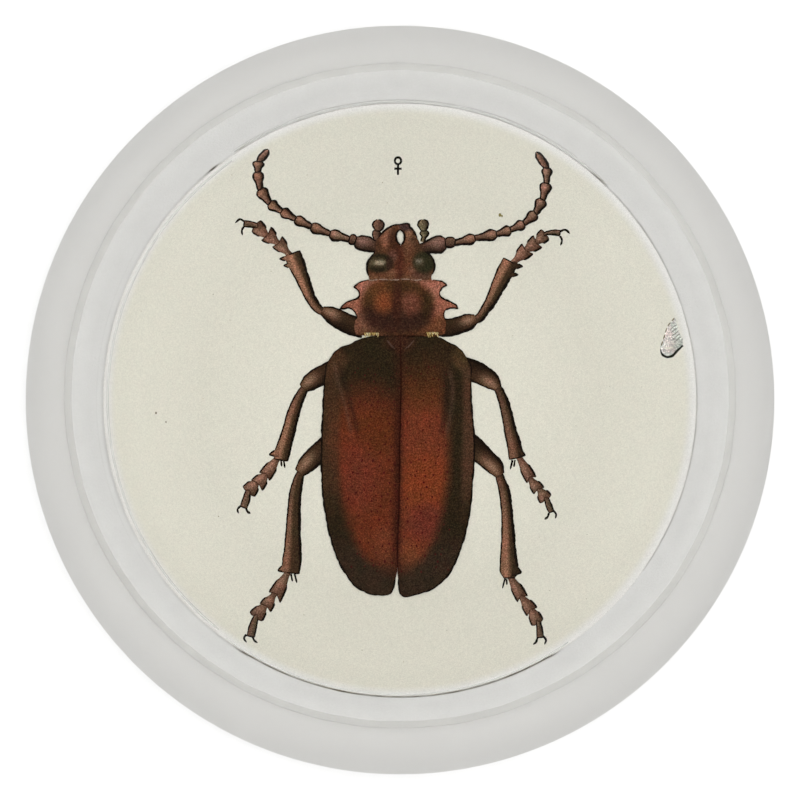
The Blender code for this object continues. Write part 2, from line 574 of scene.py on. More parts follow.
def shaded_tint(warm, shade, split=0.5, soft=0.22, glow=None):
    """A round limb's tint: warm on the lit side, dark on the other, and darker along both
    edges. Each may be several colours along the limb. glow is (u, strength, colour), a
    paler patch at u along the limb."""
    def tint(x, y, u, v):
        lit = v if tint.lit_last else 1 - v
        share = easing(1 - split - soft, 1 - split + soft, lit)[..., None]
        colour = along(shade, u) * (1 - share) + along(warm, u) * share
        if glow:
            at, strength, pale = glow
            hill = np.exp(-((u - at) / 0.22) ** 2 - ((lit - 0.62) / 0.3) ** 2)
            colour = mixed(colour, pale, strength * hill)
        rim = np.abs(2 * v - 1) ** 4
        return colour * (1 - 0.28 * rim)[..., None]
    tint.lit_last = True
    return tint


def limb(edges, tint, layer, lines=(1.5, 2.3), ends=(False, False), columns=9):
    """A joint between two edges: its tint, its two pen lines and, where asked, a line
    across its ends. The heavier line goes on the edge that is away from the light."""
    edge_a, edge_b = edges
    lit_last = float((edge_b.mean(axis=0) - edge_a.mean(axis=0)) @ LIGHT_FROM) > 0
    tint.lit_last = lit_last
    heavy_a, heavy_b = (lines[1], lines[0]) if lit_last else lines
    patches = [wash_between(edge_a, edge_b, tint, layer, columns)]
    patches += [ink_line(edge, wide, layer + 1, tremble=0.26)
                for edge, wide in ((edge_a, heavy_a), (edge_b, heavy_b)) if wide]
    for wanted, at in zip(ends, (0, -1)):
        if wanted:
            patches.append(ink_line(np.array([edge_a[at], edge_b[at]]), 1.4, layer + 1))
    return patches


def lobe(base, half, tip_a, tip_b, round_tips, tint, layer):
    """A heart-shaped foot joint: narrow where it comes out from under the joint before it,
    flared to two tips, pointed or round, with a notch between them."""
    base, tip_a, tip_b = (np.array(p, float) for p in (base, tip_a, tip_b))
    middle = (tip_a + tip_b) / 2
    stretch = middle - base
    side = np.array([-stretch[1], stretch[0]]) / np.hypot(*stretch)
    side = side if (tip_a - tip_b) @ side > 0 else -side
    hidden = base - 0.35 * stretch
    notch = middle - 0.16 * stretch
    outer, inner = [], []
    for tip, out in ((tip_a, side), (tip_b, -side)):
        root = base + out * half
        flare = root * 0.5 + tip * 0.5 + out * 0.9
        outer.append(flowing([hidden + out * half, root, flare, tip]))
        bulge = 0.16 * stretch if round_tips else 0.0
        inner.append(flowing([tip, tip * 0.5 + notch * 0.5 + bulge, notch]))
    centre = flowing([hidden, notch])
    tint.lit_last = float((tip_b - tip_a) @ LIGHT_FROM) > 0
    patches = []
    for number, (line, end) in enumerate(zip(outer, inner)):
        def half_tint(x, y, u, v):
            return tint(x, y, u, np.abs(number - v / 2))
        patches.append(wash_between(np.vstack([line, end[1:11]]), centre, half_tint, layer, 5))
    for line, width in zip(outer, (1.6, 2.1)):
        patches.append(ink_line(line[17:], width, layer + 1, taper=(0.3, 0.6)))
    return patches + [ink_line(line, 1.0, layer + 1, taper=(1.0, 0.3), colour=(56, 38, 28)) for line in inner]


def spur(root_a, root_b, tip, tint, layer):
    """A thorn at a joint's side. It is rooted inside the joint, where it has no line."""
    edges = flowing([root_a, tip]), flowing([root_b, tip])
    thorn = limb(edges, tint, layer, lines=(0, 0), columns=3)
    return thorn + [ink_line(edge[5:], 1.6, layer + 1) for edge in edges]


LEGS = {
    "fore_left": {
        "femur": [(-36, 72, 10), (-50, 75.5, 8.9), (-60, 80.5, 8.8), (-70, 86, 7.3), (-78, 89.5, 4)],
        "tibia": [(-79.5, 89.5, 3.8), (-88, 99, 4.3), (-93.7, 111.3, 5.2), (-98.8, 124.2, 6.4),
                  (-103.8, 136, 7.7), (-108, 146.5, 8.2)],
        "split": 0.56, "wash": 1.08,
        "spurs": [((-107, 130), (-109, 138), (-116.5, 134.5)), ((-109, 137.5), (-111, 146), (-120.5, 141))],
        "lobes": [((-113, 148), (-127.5, 153), (-118, 163.5)), ((-123.5, 158), (-138.5, 159.7), (-129, 173)),
                  ((-133.5, 164.5), (-148, 168), (-139.5, 179.5))],
        "claw_joint": [(-140, 172.5, 2.2), (-148, 175.5, 2.6), (-156, 176.5, 3.2)],
        "claws": [[(-155.5, 178.5), (-160, 180.7), (-165, 177)],
                  [(-155.5, 174), (-158, 170), (-157.5, 164.7)]],
        "spines": [],
    },
    "fore_right": {
        "femur": [(36, 73, 8.8), (50, 72.8, 8.1), (60, 75.3, 7.8), (68, 78.2, 7.6), (76, 81.4, 4.4)],
        "tibia": [(77, 81, 3.8), (85, 90.5, 4), (92.5, 102.5, 5.3), (98.3, 115, 6.5), (104.5, 127.5, 7.6),
                  (110.5, 138.5, 7.8)],
        "split": 0.52, "wash": 1.03,
        "spurs": [((107, 121), (111, 129), (118.3, 125.3)), ((110.5, 129), (114, 139), (123, 133.5))],
        "lobes": [((116, 140), (122, 156.2), (133, 146)), ((126, 150), (133.5, 164.5), (142, 152.5)),
                  ((137, 158), (141, 170.5), (149, 160.5))],
        "claw_joint": [(144, 165.3, 1.4), (153, 167.6, 2.3), (160, 167, 2.8)],
        "claws": [[(160, 168.5), (165, 170.2), (170, 166.5)], [(160, 164), (162, 160), (160.5, 154.5)]],
        "spines": [],
    },
    "mid_left": {
        "femur": [(-58, 34, 10), (-70, 28.5, 9.3), (-83, 22.5, 8.7), (-91, 17, 7.6), (-97, 12, 4.8)],
        "tibia": [(-96.5, 10.5, 3.8), (-101.5, 1, 4.6), (-106.8, -13, 5.6), (-110.6, -27, 5.8),
                  (-114.5, -41, 6.3), (-117.7, -52, 7.2), (-119.3, -60, 6.8)],
        "split": 0.52, "wash": 1.0,
        "spurs": [((-120, -46), (-121, -58), (-131, -54.5))],
        "lobes": [((-123, -59), (-140.5, -72.5), (-130.5, -80.5)),
                  ((-134, -74), (-148.5, -80), (-137.5, -90.5)),
                  ((-143, -81), (-157, -86.5), (-145.5, -96.5))],
        "claw_joint": [(-151, -90, 2.2), (-154, -100, 3.4), (-156.5, -107.5, 3.6)],
        "claws": [[(-159.5, -106), (-162.5, -109.5), (-161.5, -113.5)],
                  [(-154, -108.5), (-152, -112), (-149.5, -113.5)]],
        "spines": [((-119, -60), (-118.3, -66.5)), ((-116.5, -60), (-115, -68))],
    },
    "mid_right": {
        "femur": [(54, 35, 11), (66, 31, 10.3), (78, 27, 9.7), (86.8, 22, 8.8),
                  (93.3, 17, 7.4), (98, 12, 3.8)],
        "tibia": [(97.2, 12.5, 3.6), (102.4, 1, 4.2), (106.8, -15, 4.8), (110.2, -31, 5.4), (114, -46, 6.4),
                  (116.5, -58, 7.3)],
        "split": 0.58, "wash": 0.78,
        "spurs": [((117, -44), (119, -57), (125.5, -55.3))],
        "lobes": [((120, -59), (127, -83), (136, -77)), ((131, -80), (134, -94), (144, -87.5)),
                  ((140, -90), (140, -103), (151, -95))],
        "claw_joint": [(146.5, -99, 2.2), (149, -106, 2.8), (151.3, -112, 2.6)],
        "claws": [[(149, -113), (147.5, -117), (144.5, -119.5)],
                  [(153.5, -111), (156, -114), (155.5, -118.5)]],
        "spines": [((112.5, -60), (110.3, -69.5)), ((115, -60), (114, -67))],
    },
    "hind_left": {
        "femur": [(-58, -34, 10), (-74, -47, 9.8), (-86.3, -57, 9), (-94.3, -65.2, 8), (-100.7, -72.6, 5.2)],
        "tibia": [(-100.3, -75, 3.8), (-104.3, -90, 5.3), (-106, -105, 5.6),
                  (-106.7, -120, 6.3), (-107.2, -135, 6.9),
                  (-107.7, -150, 7.9), (-108.4, -162, 8.9), (-109.5, -173, 8.6)],
        "split": 0.36, "wash": 0.94,
        "spurs": [((-114, -161), (-113, -173.5), (-122.3, -170.5))],
        "lobes": [((-113, -174), (-131, -192), (-120, -202.5)),
                  ((-127, -196), (-140, -203.5), (-129.5, -212)),
                  ((-135, -205), (-150, -212), (-138, -221))],
        "claw_joint": [(-143.5, -216, 2.2), (-147, -226, 3.6), (-149.5, -236.5, 4)],
        "claws": [[(-153.5, -234.5), (-156, -238), (-153.5, -242.5)],
                  [(-147.5, -236.5), (-146, -240), (-142.5, -243)]],
        "spines": [((-109, -174), (-107.5, -181.5)), ((-105.5, -174), (-103, -183))],
    },
    "hind_right": {
        "femur": [(54, -32, 10), (69, -43.5, 10), (80, -53, 9.3), (88.6, -61, 8.4),
                  (96, -68.6, 7.8), (100, -75.3, 4.2)],
        "tibia": [(99.3, -76, 3.8), (103.8, -90, 4.7), (106, -105, 4.9), (107.3, -122, 5.2), (108, -140, 6.2),
                  (108.2, -156, 7.5), (108.9, -170, 8.7), (109, -178, 5.4)],
        "split": 0.56, "wash": 0.97,
        "spurs": [((114, -162), (111, -177), (121.7, -172.5))],
        "lobes": [((111, -178), (117.5, -202), (127.5, -196)), ((122.5, -198), (127, -216), (137, -207.5)),
                  ((131, -209), (132, -225.5), (143, -219))],
        "claw_joint": [(137.5, -220, 1.8), (139.5, -229, 2.8), (140.2, -237.5, 3.4)],
        "claws": [[(137.5, -238), (136, -242), (133, -244.5)], [(143, -236), (146, -240), (144.5, -244.5)]],
        "spines": [((105, -178), (102.5, -188.5)), ((106.5, -179), (107, -185))],
    },
}


def leg(plan):
    """A leg, from its claws to its thigh. Each joint starts a little way under the next."""
    warm = [LEG_BROWN * plan["wash"] * share for share in (0.65, 0.97, 1.05)]
    foot = along(warm, 1.0) * 0.45 + np.array((58, 45, 38))
    patches = []
    for claw in plan["claws"]:
        patches.append(ink_line(flowing(claw), 2.2, LEG_LAYER + 1, taper=(1.0, 0.3)))
    for spine in plan["spines"]:
        patches.append(ink_line(flowing(list(spine)), 1.9, LEG_LAYER + 1, taper=(1.0, 0.4)))
    tint = shaded_tint(foot * 0.9, (84, 68, 52))
    base, first = np.array(plan["lobes"][-1][0]), np.array(plan["claw_joint"][0][:2])
    hidden = (*(base * 0.4 + first * 0.6), 2.0)
    claw_joint = spindle([hidden] + plan["claw_joint"])
    patches += limb(claw_joint, tint, LEG_LAYER, lines=(1.3, 1.8), ends=(False, True))
    for joint, (base, tip_a, tip_b) in enumerate(reversed(plan["lobes"])):
        tint = shaded_tint(foot * hand.uniform(0.86, 1.0), (86, 62, 48), glow=(0.6, 0.6, (162, 120, 100)))
        patches += lobe(base, 3.2, tip_a, tip_b, joint == 0, tint, LEG_LAYER + 2 + 2 * joint)
    top = LEG_LAYER + 8
    thigh, knee = plan["femur"][-2:]
    start = ((thigh[0] + knee[0]) / 2, (thigh[1] + knee[1]) / 2, 3.0)
    tint = shaded_tint(warm, LEG_SHADE, plan["split"], soft=0.2)
    patches += limb(spindle([start] + plan["tibia"]), tint, top, lines=(1.5, 2.8), ends=(False, True))
    for root_a, root_b, tip in plan["spurs"]:
        side = warm if tip[0] < root_a[0] else LEG_SHADE
        patches += spur(root_a, root_b, tip, shaded_tint(along(side, 1.0), along(side, 1.0) * 0.8), top + 2)
    thigh_wash = np.array([THIGH_BROWN * share for share in (1.0, 0.8, 1.3)])
    tint = shaded_tint(thigh_wash, thigh_wash * 0.66, 0.5, soft=0.4, glow=KNEE_LIGHT)
    patches += limb(spindle(plan["femur"]), tint, top + 4, lines=(1.6, 2.6))
    edge_a, edge_b = spindle(plan["femur"])
    knee_line = np.array([edge_a[-1] * 0.6 + edge_b[-1] * 0.4, edge_b[-1]])
    patches.append(ink_line(knee_line, 1.2, top + 5, colour=(60, 44, 32)))
    return patches


for place, plan in LEGS.items():
    printed(f"printed_leg_{place}", leg(plan))


# Antennae and palps of the figure
# An antenna is a thick joint on the head, a small one, and nine clubbed ones, laid from the
# tip to the head. The palps are two short rows of joints beside the jaws.

ANTENNAE = {
    "left": {
        "scape": [(-22, 153, 5), (-28, 154.5, 6), (-34, 156.5, 7.3), (-40, 157.5, 7), (-44.5, 159, 4.5)],
        "pedicel": [(-44, 159, 3.4), (-47.5, 160.5, 5), (-50.5, 161.5, 3.8)],
        "joints": [(-49.5, 160.5), (-70, 166.3), (-88.7, 173.5), (-104.5, 181), (-118.5, 188.7),
                   (-130.5, 196.7), (-140, 210.5), (-142.5, 228), (-141.5, 238.5), (-131.5, 250.5)],
        "swell": [5.6, 5.5, 5.3, 5.2, 5.5, 6.2, 5.5, 5.8, 4],
    },
    "right": {
        "scape": [(21, 151.5, 4.5), (27, 153, 5.5), (33, 154.7, 7.2), (39, 155.7, 8.4), (45.5, 156.5, 5.6)],
        "pedicel": [(45, 156.6, 3.6), (50, 157.8, 5.2), (55, 157.3, 3.6)],
        "joints": [(54, 157), (75, 162), (96.5, 166), (110.5, 170.2), (124, 176.5),
                   (135.5, 186.7), (142.5, 200.5), (146.5, 216.8), (147, 232), (136, 248)],
        "swell": [5.2, 5.6, 5.2, 5.2, 5.6, 5.8, 5.8, 5, 4],
    },
}

PALPS = {
    "left": {
        "stalk": [(-23, 157, 3), (-23.2, 162.5, 3.4), (-23.4, 166.8, 4.3), (-22.5, 169.8, 2.5)],
        "club": [(-22.2, 169, 2.2), (-21.8, 172, 4.6), (-21.7, 175.3, 5.9),
                 (-21.8, 178.6, 4.4), (-21.9, 180.6, 1.2)],
        "colour": (116, 82, 66),
    },
    "right": {
        "stalk": [(22.5, 158, 2), (23.6, 162, 1.8), (24.3, 166.5, 4.3), (23.8, 169.8, 2.5)],
        "club": [(23.6, 169, 2.2), (23.4, 172, 3.8), (23.1, 175.6, 5.4), (22.9, 178.6, 4.4),
                 (22.8, 180.6, 1.4)],
        "colour": (112, 98, 74),
    },
}


def clubbed(start, end, swell, is_tip):
    """Stations of an antenna's joint: narrow at its base and widest near its end. The tip
    is a leaf, widest in its middle."""
    start, end = np.array(start, float), np.array(end, float)
    shares = (-0.06, 0.4, 0.78, 1.0)
    club = (2.2, 0.58 * swell, 0.94 * swell, 0.6 * swell)
    leaf = (1.8, 0.85 * swell, 0.75 * swell, 0.4)
    halves = leaf if is_tip else club
    return [(*(start + (end - start) * share), half) for share, half in zip(shares, halves)]


def antenna(plan):
    """One antenna, from its tip to the head; the joints grow darker towards the head."""
    patches = []
    spans = list(zip(plan["joints"], plan["joints"][1:], plan["swell"]))
    for number, (start, end, swell) in enumerate(reversed(spans)):
        near_head = number / len(spans)
        warm = mixed((142, 105, 88), (120, 92, 76), near_head) * hand.uniform(0.9, 1.08)
        light = mixed((184, 138, 120), (166, 118, 90), hand.uniform(0, 1))
        tint = shaded_tint(warm, (78, 56, 42), 0.5, soft=0.4, glow=(0.78, 0.65, light))
        edges = spindle(clubbed(start, end, swell, number == 0))
        patches += limb(edges, tint, 1 + 2 * number, lines=(1.8, 2.3), ends=(False, number > 0))
    tint = shaded_tint((108, 78, 62), (66, 48, 38), 0.5, soft=0.4)
    patches += limb(spindle(plan["pedicel"]), tint, 19, lines=(1.4, 2.0), ends=(False, True))
    warm = [(62, 44, 32), (104, 78, 66), (112, 80, 68)]
    shade = [(46, 34, 24), (62, 44, 36)]
    tint = shaded_tint(warm, shade, 0.55, soft=0.4, glow=(0.68, 0.6, (142, 106, 94)))
    patches += limb(spindle(plan["scape"]), tint, 21, lines=(1.7, 2.3), ends=(False, True))
    return patches


def palp(plan):
    dark = mixed(plan["colour"], INK, 0.55)
    tint = shaded_tint(plan["colour"], dark, 0.6, soft=0.4)
    stalk = limb(spindle(plan["stalk"]), tint, 1, lines=(1.4, 1.8))
    return stalk + limb(spindle(plan["club"]), tint, 3, lines=(1.5, 1.9), ends=(True, False))


for place in ANTENNAE:
    printed(f"printed_antenna_{place}", antenna(ANTENNAE[place]) + palp(PALPS[place]))


# Wing cases of the figure
# Two long domed covers that meet on the middle line: dark olive at the front and round the
# sides, hot red-brown down the middle, with a soft ridge behind each shoulder.

CASE_LAYER = 26
OLIVE = (40, 31, 19)

LEFT_CASE = flowing(
    [(0, 64.5), (-20, 64), (-39, 61), (-45, 58), (-51, 55), (-58, 53), (-64, 49), (-69, 43), (-73, 36),
     (-75, 25), (-76, 10), (-77, -10), (-78, -30), (-78.5, -60), (-78, -80), (-77, -95), (-75, -110),
     (-72, -127), (-68.5, -141), (-65, -152), (-61, -162), (-56, -171), (-51, -179), (-45, -186),
     (-38, -190.5), (-30, -194), (-20, -195.5), (-12, -195)],
    [(-8.5, -192.5)])
LEFT_SUTURE = flowing(
    [(0, 64.5), (1, 30), (0.5, -10), (-0.5, -50), (-1, -100), (-2.5, -150), (-3, -171)],
    [(-5, -180), (-6.8, -188), (-8.5, -192.5)])
RIGHT_CASE = flowing(
    [(0, 64.5), (20, 64), (38, 63), (44, 60), (50, 56.5), (56, 54), (62, 49), (66, 43)],
    [(70, 36), (71, 18), (71, 5), (72, -10), (73.5, -28), (74.5, -45), (74, -61), (73, -75), (71.5, -95),
     (70, -110), (68, -122), (65, -134), (62, -145), (58, -156), (53, -167), (49, -174), (43, -181),
     (36, -186.5), (30, -190), (22, -193), (13, -195.5), (7, -197), (3, -196.5), (0, -194)])
RIGHT_SUTURE = flowing(
    [(0, 64.5), (1, 30), (0.5, -10), (-0.5, -50), (-1, -100), (-2.5, -150), (-2.2, -171)],
    [(-1.5, -180), (-1, -188), (0, -194)])
RIDGES = {-1: [(-66, 36), (-61, 15), (-54, -8), (-49, -32)], 1: [(50, 30), (53, 12), (52, -8), (47, -32)]}
RED_REACHES = {
    -1: [(-178, 10), (-160, 31), (-140, 43), (-120, 51), (-80, 60), (-40, 72), (0, 68), (20, 56), (40, 44)],
    1: [(-178, 12), (-160, 25), (-140, 37), (-120, 43), (-80, 50), (-40, 50), (0, 43), (20, 45), (40, 47)],
}  # (height in the picture, distance from the middle line)


def spot(x, y, centre, reach, soft=1.0):
    """1 at the centre of an ellipse and 0 outside it, falling smoothly over a soft rim."""
    away = np.hypot((x - centre[0]) / reach[0], (y - centre[1]) / reach[1])
    return 1 - easing(1 - soft * 0.5, 1 + soft * 0.5, away)


def dabbed(colour, x, y, dabs):
    """A colour with soft ellipses of others over it, each (colour, strength, centre, reach)
    and, where its rim isn't of the usual softness, that softness."""
    for dab, strength, *shape in dabs:
        colour = mixed(colour, dab, strength * spot(x, y, *shape))
    return colour


def beside(x, y, line, width):
    """1 on a line that runs down the picture and 0 away from it or past its ends."""
    points = np.array(line, float)[::-1]
    middle = np.interp(y, points[:, 1], points[:, 0])
    past = easing(points[0, 1] - 12, points[0, 1] + 6, y) * easing(-points[-1, 1] - 6, -points[-1, 1] + 6, -y)
    return np.exp(-(((x - middle) / width) ** 2)) * past


def case_tint(x, y, u, v):
    """The wing cases' colours: red-brown as far as RED_REACHES, olive round it."""
    away = x + 0.014 * (64 - y)
    right = x > 0
    reach = np.zeros(x.shape)
    for side, line in RED_REACHES.items():
        heights, distances = np.array(line, float).T
        reach = np.where(right == (side > 0), np.interp(y, heights, distances), reach)
    hot = mixed((90, 43, 25), (100, 48, 30), np.where(right, 1.0, 0.0))
    hot = dabbed(hot, x, y, (
        ((110, 52, 28), 0.9, (24, -84), (26, 30)),
        ((97, 45, 31), 0.8, (-42, -76), (20, 34)),
        ((92, 42, 32), 0.8, (28, -122), (20, 18)),
        ((80, 42, 20), 0.6, (-24, -30), (20, 22)),
        ((84, 38, 24), 0.4, (-20, 2), (30, 14)),
        ((86, 47, 23), 0.65, (22, 20), (24, 28)),
        ((100, 52, 33), 0.8, (-12, -146), (14, 20)),
        ((104, 57, 34), 0.8, (8, -158), (12, 16)),
    ))
    front_left = easing(-16, 34, y + 5 * np.minimum(((x + 34) / 20) ** 2, 2))
    front = np.where(right, easing(-20, 62, y), front_left)
    back = easing(150, 182, -y)
    sides = easing(-8, 8, np.abs(away) - reach)
    dark = 1 - (1 - front) * (1 - back) * (1 - sides)
    shade = mixed(OLIVE, (47, 36, 26), easing(120, 160, -y))
    colour = mixed(hot, shade, dark)
    colour = mixed(colour, (50, 24, 16), 0.8 * np.exp(-(((away + 0.5) / 5) ** 2)) * (1 - 0.5 * dark))
    edge = 77 - 30 * easing(20, 62, y)
    across_case = np.abs(away) / edge
    rim = np.where(right, easing(0.79, 0.87, across_case), easing(0.72, 0.82, across_case))
    rim = rim * (1 - easing(0.97, 1.02, across_case)) * easing(-125, -75, y) * (1 - easing(30, 48, y))
    rim_colour = np.where(right[..., None], (80, 54, 40), (66, 45, 30))
    colour = mixed(colour, rim_colour, 0.7 * rim)
    shoulders = ((84, 55, 38), 0.6, (-67, 40), (12, 12)), ((76, 58, 36), 0.6, (61, 42), (9, 11))
    colour = dabbed(colour, x, y, shoulders)
    for side, line in RIDGES.items():
        colour = mixed(colour, (86, 62, 52), 0.42 * beside(x, y, line, 2.2))
        colour = mixed(colour, (34, 24, 18), 0.45 * beside(x + 6 * side, y, line, 2.6))
    colour = mixed(colour, (54, 32, 22), 0.8 * spot(x, y, (0, 62), (15, 14)))
    return colour


def fleck(x, y, size, colour, layer):
    """A small round touch of the brush or the graver."""
    line = np.array([(x - 0.4 * size, y), (x + 0.4 * size, y)])
    return ink_line(line, size, layer, taper=(0.45, 0.45), colour=colour, tremble=0.05)


def case_flecks():
    """Punctures: dark red dots scattered over the hot part of both cases, larger to the
    rear, kept 5 squares apart."""
    places = []
    while len(places) < 240:
        x, y = hand.uniform(-52, 50), hand.uniform(-172, 34)
        if all((x - px) ** 2 + (y - py) ** 2 > 25 for px, py in places):
            places.append((x, y))
    sizes = hand.uniform(1.0, 2.0, len(places))
    return [fleck(x, y, size + 0.4 * (y < -60), (62, 20, 18), CASE_LAYER + 2)
            for (x, y), size in zip(places, sizes)]


cases = [wash_between(LEFT_CASE, LEFT_SUTURE, case_tint, CASE_LAYER, columns=56)]
cases.append(wash_between(RIGHT_CASE, RIGHT_SUTURE, case_tint, CASE_LAYER, columns=56))
cases.append(ink_line(LEFT_CASE[80:], 1.8, CASE_LAYER + 3, tremble=0.4))
cases.append(ink_line(RIGHT_CASE[70:], 1.8, CASE_LAYER + 3, tremble=0.4))
for front in (LEFT_CASE[:83], RIGHT_CASE[:73]):
    cases.append(ink_line(front, 1.1, CASE_LAYER + 3, colour=(26, 20, 13), tremble=0.4))
cases.append(ink_line(LEFT_SUTURE, 1.0, CASE_LAYER + 3, colour=(52, 24, 17)))
cases.append(ink_line(RIGHT_SUTURE, 1.0, CASE_LAYER + 3, colour=(52, 24, 17)))
cases.append(ink_line(LEFT_SUTURE[-22:], 1.8, CASE_LAYER + 4))
cases.append(ink_line(RIGHT_SUTURE[-22:], 1.8, CASE_LAYER + 4))
for points in ([(-13, 60), (-9, 55), (-5, 51)], [(14, 60), (10, 55), (5, 51)]):
    scutellum_edge = flowing(points)
    cases.append(ink_line(scutellum_edge, 1.5, CASE_LAYER + 4, taper=(0.3, 0.3), colour=(70, 52, 44)))
printed("printed_wing_cases", cases + case_flecks())


# Head and thorax shield of the figure
# The shield behind the head has two thorns on each side and a dark disc with two red lights
# in it. The head has round eyes and crossed jaws with a gap of bare paper between them.

HEAD_LAYER = 33
SHIELD_LAYER = 37

HEAD_OUTER = {
    "left": flowing([(-1, 175.5), (-6, 175), (-12, 172), (-18, 167), (-22, 162), (-25, 156), (-24.5, 149)],
                    [(-28, 144), (-31.5, 140), (-33, 134.5), (-32.5, 128), (-31, 122), (-30.5, 118)]),
    "right": flowing([(-1, 175.5), (4, 176.3), (9, 175.8), (9.5, 173.5)],
                     [(13, 170), (16, 165), (17.8, 160), (20, 155), (23.5, 149)],
                     [(29, 146), (33, 141), (34.6, 135), (33.5, 128.5), (31.5, 124), (32, 118)]),
}
HEAD_INNER = {
    "left": flowing([(-1, 175.5), (0, 173), (0, 170.5)],
                    [(-3, 168), (-3.9, 163.3), (-2.8, 158.5), (0.8, 154.8)],
                    [(0.5, 140), (0, 118)]),
    "right": flowing([(-1, 175.5), (0, 173), (0, 170.5)],
                     [(3.4, 168), (4.6, 163.5), (3.8, 158.5), (0.8, 154.8)],
                     [(0.5, 140), (0, 118)]),
}
SHIELD_EDGE = {
    "left": {
        "front": [(0, 120.5), (-16, 120.3), (-31, 120)],
        "front_thorn": [(-37, 119), (-42, 116.8), (-46, 113.3)],
        "bay": [(-43, 110.8), (-41, 108), (-40.6, 104.5), (-43, 101.5)],
        "thorn_top": [(-49, 99.5), (-54.5, 97), (-58.5, 93.5), (-60.3, 91)],
        "thorn_foot": [(-56, 91.5), (-51.5, 92.3), (-47.5, 90.5), (-44.3, 86.5)],
        "side": [(-43, 82.5), (-44.5, 80.5)],
        "rear": [(-45.5, 70), (-44, 65.5)],
        "back": [(-34, 64.3), (-16, 64.5), (0, 64.5)],
    },
    "right": {
        "front": [(0, 120.5), (16, 120.3), (33, 120)],
        "front_thorn": [(39, 119.3), (43.5, 118), (47, 114.7)],
        "bay": [(42.5, 112.5), (40, 109), (39.7, 105.5), (42, 102.3)],
        "thorn_top": [(46.5, 99.8), (52, 97.5), (56, 95), (58.3, 91.3)],
        "thorn_foot": [(54, 92), (49.5, 91.8), (45.5, 90.2), (43.8, 86.5)],
        "side": [(44.3, 82.5), (46, 80)],
        "rear": [(45.5, 72), (45, 66.5)],
        "back": [(38, 64.2), (18, 64.5), (0, 64.5)],
    },
}


def head_tint(x, y, u, v):
    """Brown, with redder jaws, a dark brow, black-green eyes with a light in each, and
    paler cheeks behind them."""
    colour = mixed((86, 54, 36), (90, 61, 42), easing(128, 122, y))
    jaws = (
        ((128, 86, 66), 0.9, (-13, 165), (7, 12)),
        ((132, 94, 72), 0.8, (9.5, 165), (3.5, 9)),
        ((78, 54, 38), 0.8, (14, 160), (4, 10)),
        ((52, 33, 22), 0.85, (-6.5, 160), (5, 12)),
        ((60, 44, 46), 0.8, (6, 174), (7, 5)),
    )
    brow = (
        ((62, 36, 22), 0.8, (-3, 151), (9, 9)),
        ((98, 64, 46), 0.7, (6, 152), (6, 8)),
        ((66, 34, 24), 0.8, (-1, 138), (5, 22)),
        ((96, 64, 54), 0.7, (-7.5, 144), (5, 6)),
        ((60, 41, 28), 0.7, (-25, 153), (6, 8)),
        ((66, 46, 31), 0.7, (21, 153), (6, 8)),
    )
    cheeks = (
        ((110, 76, 56), 0.6, (-10, 128), (7, 3.5)),
        ((72, 52, 42), 0.7, (22, 125), (12, 5)),
        ((112, 84, 68), 0.5, (12, 131), (4, 3)),
    )
    left_eye = (
        ((36, 32, 20), 0.95, (-20.5, 137), (13.5, 10), 0.45),
        ((84, 72, 54), 0.8, (-23, 137.5), (9, 4.5)),
        ((150, 138, 114), 0.85, (-20, 137.5), (5.5, 2.4)),
        ((52, 34, 26), 0.8, (-10.5, 137), (3.5, 7)),
    )
    right_eye = (
        ((38, 37, 23), 0.95, (24.5, 138), (12, 11), 0.5),
        ((68, 60, 44), 0.8, (19.5, 138), (6, 5)),
        ((112, 106, 92), 0.7, (19, 139), (3.4, 2.4)),
    )
    return dabbed(colour, x, y, jaws + brow + cheeks + left_eye + right_eye)


def shield_tint(x, y, u, v):
    """Rose-brown thorned sides, and a dark disc with a red light in each half."""
    colour = mixed((148, 95, 78), (138, 86, 68), easing(-110, -98, -y))
    lower = np.where((x > 0)[..., None], (96, 58, 38), (104, 68, 52))
    colour = mixed(colour, lower, easing(-92, -78, -y))
    disc = spot(x, y, (-2.5, 93.5), (36.5, 30), 0.34)
    ground = mixed((62, 40, 23), (50, 31, 23), easing(-100, -84, -y))
    colour = mixed(colour, ground, disc)
    colour = mixed(colour, (88, 55, 31), 0.8 * spot(x, y, (-22, 111), (13, 10)) * disc)
    colour = mixed(colour, (46, 33, 18), 0.7 * spot(x, y, (27, 94), (7, 14)) * disc)
    colour = dabbed(colour, x, y, (
        ((114, 61, 36), 0.95, (-16, 97.5), (9.5, 10), 1.2),
        ((102, 60, 46), 0.9, (10, 97), (10.5, 10.5), 1.3),
        ((56, 30, 21), 0.8, (-3, 96), (5, 22)),
    ))
    colour = mixed(colour, (84, 56, 40), 0.5 * easing(116, 121, y) * (np.abs(x) < 34))
    rear = 1 - easing(64, 74, y)
    colour = mixed(colour, (64, 40, 24), 0.7 * rear * (np.abs(x) < 42))
    return colour


def shield_half(arcs):
    """Half of the shield: a body ruled level to the middle line, the rear thorn as a patch
    under it, and a pen line round the outside as far as the legs."""
    body = flowing(arcs["front"], arcs["front_thorn"], arcs["bay"], [arcs["thorn_foot"][-1]], arcs["side"],
                   arcs["rear"], arcs["back"])
    body = evenly(body, int(length_of(body) / 0.8))
    thorn_top = flowing([arcs["bay"][-1]] + arcs["thorn_top"])
    thorn_foot = flowing([arcs["thorn_top"][-1]] + arcs["thorn_foot"])[::-1]
    outline = flowing([arcs["front"][-1]] + arcs["front_thorn"], arcs["bay"] + arcs["thorn_top"],
                      arcs["thorn_foot"] + arcs["side"])
    return [
        wash_between(thorn_top, thorn_foot, shield_tint, SHIELD_LAYER - 1, 12),
        wash(body, body * (0, 1), shield_tint, SHIELD_LAYER, 40),
        ink_line(outline, 1.6, SHIELD_LAYER + 2, tremble=0.35),
    ]


